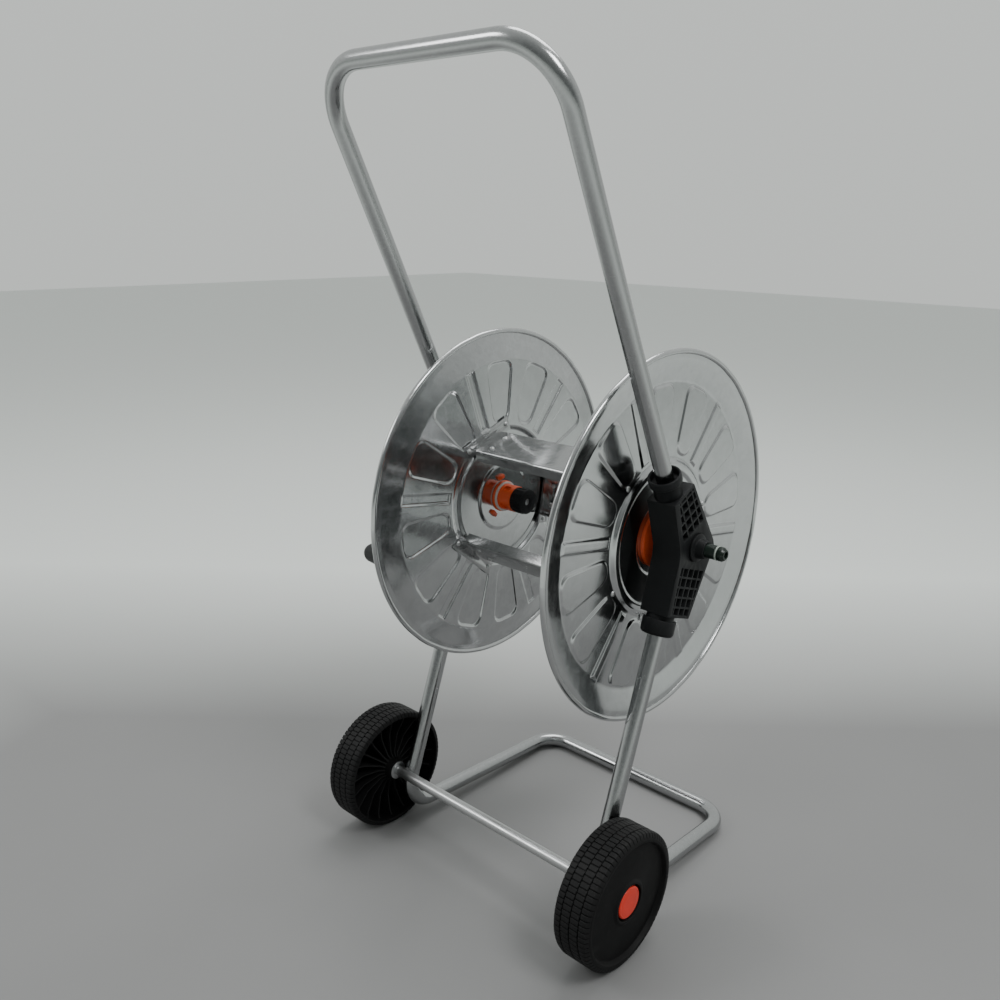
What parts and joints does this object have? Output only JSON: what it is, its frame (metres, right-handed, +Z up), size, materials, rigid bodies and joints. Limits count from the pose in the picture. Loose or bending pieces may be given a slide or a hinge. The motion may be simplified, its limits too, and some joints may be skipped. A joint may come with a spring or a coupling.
{
  "type": "garden hose reel cart",
  "caption": "Two-wheeled garden hose reel cart: bent tube frame with a tall handle, embossed sheet-metal reel, hand crank and water inlet spigot.",
  "frame": {"origin": "on the ground under the centre of the cart's bounding box", "axes": "X along the reel axis from the crank side to the water inlet side, Y from the user's side to the front, Z up"},
  "size_m": [0.4456, 0.442, 0.8702],
  "materials": {
    "galvanised_tube": "satin galvanised",
    "galvanised_sheet": "bright galvanised",
    "zinc_plated_steel": "zinc plated",
    "weld_metal": "rough weld with cold zinc",
    "orange_plastic": "semi gloss moulded",
    "red_orange_plastic": "semi gloss moulded",
    "pale_plastic": "semi gloss moulded",
    "wheel_black": "matte moulded, dusty",
    "dark_green_plastic": "semi gloss moulded",
    "grey_rubber": "smooth",
    "black_rubber": "smooth",
    "crank_black": "satin moulded",
    "black_plastic": "satin moulded, fine texture"
  },
  "bodies": {
    "frame": {"handle_tube": "galvanised_tube", "leg_left": "galvanised_tube", "leg_right": "galvanised_tube", "ground_frame": "galvanised_tube", "wheel_axle": "zinc_plated_steel", "axle_welds": "weld_metal", "bracket_left": "black_plastic", "bracket_right": "black_plastic", "handle_collar_left": "black_plastic", "handle_collar_right": "black_plastic", "leg_nut_left": "black_plastic", "leg_nut_right": "black_plastic", "inlet_spigot": "dark_green_plastic", "spigot_o_ring": "grey_rubber", "stem_o_ring": "black_rubber", "axle_washers": "zinc_plated_steel", "axle_clips": "zinc_plated_steel"},
    "reel": {"reel_disc_left": "galvanised_sheet", "reel_disc_right": "galvanised_sheet", "drum_bars": "galvanised_sheet", "bar_clips_left": "galvanised_sheet", "bar_clips_right": "galvanised_sheet", "bar_rivets": "zinc_plated_steel", "disc_rivets_left": "zinc_plated_steel", "disc_rivets_right": "zinc_plated_steel", "hub_left": "orange_plastic", "hub_right": "orange_plastic", "hub_washer_left": "pale_plastic", "hub_washer_right": "pale_plastic", "hub_nut_left": "black_plastic", "hub_nut_right": "black_plastic", "outlet_barb": "orange_plastic", "crank_shaft": "zinc_plated_steel", "crank_arm": "crank_black", "crank_screw": "zinc_plated_steel", "crank_pin": "zinc_plated_steel"},
    "crank_knob": {"crank_knob": "crank_black"},
    "wheel_left": {"wheel_left": "wheel_black", "wheel_cap_left": "red_orange_plastic"},
    "wheel_right": {"wheel_right": "wheel_black", "wheel_cap_right": "red_orange_plastic"}
  },
  "joints": [
    {"name": "reel_turn", "type": "hinge", "parent": "frame", "child": "reel", "pos_m": [0.02625, 0.02097, 0.406], "axis": [1, 0, 0], "continuous": true},
    {"name": "crank_knob_turn", "type": "hinge", "parent": "reel", "child": "crank_knob", "pos_m": [-0.17375, -0.07631, 0.32437], "axis": [1, 0, 0], "continuous": true},
    {"name": "wheel_left_turn", "type": "hinge", "parent": "frame", "child": "wheel_left", "pos_m": [-0.14375, -0.11692, 0.073], "axis": [1, 0, 0], "continuous": true},
    {"name": "wheel_right_turn", "type": "hinge", "parent": "frame", "child": "wheel_right", "pos_m": [0.19625, -0.11692, 0.073], "axis": [1, 0, 0], "continuous": true}
  ]
}
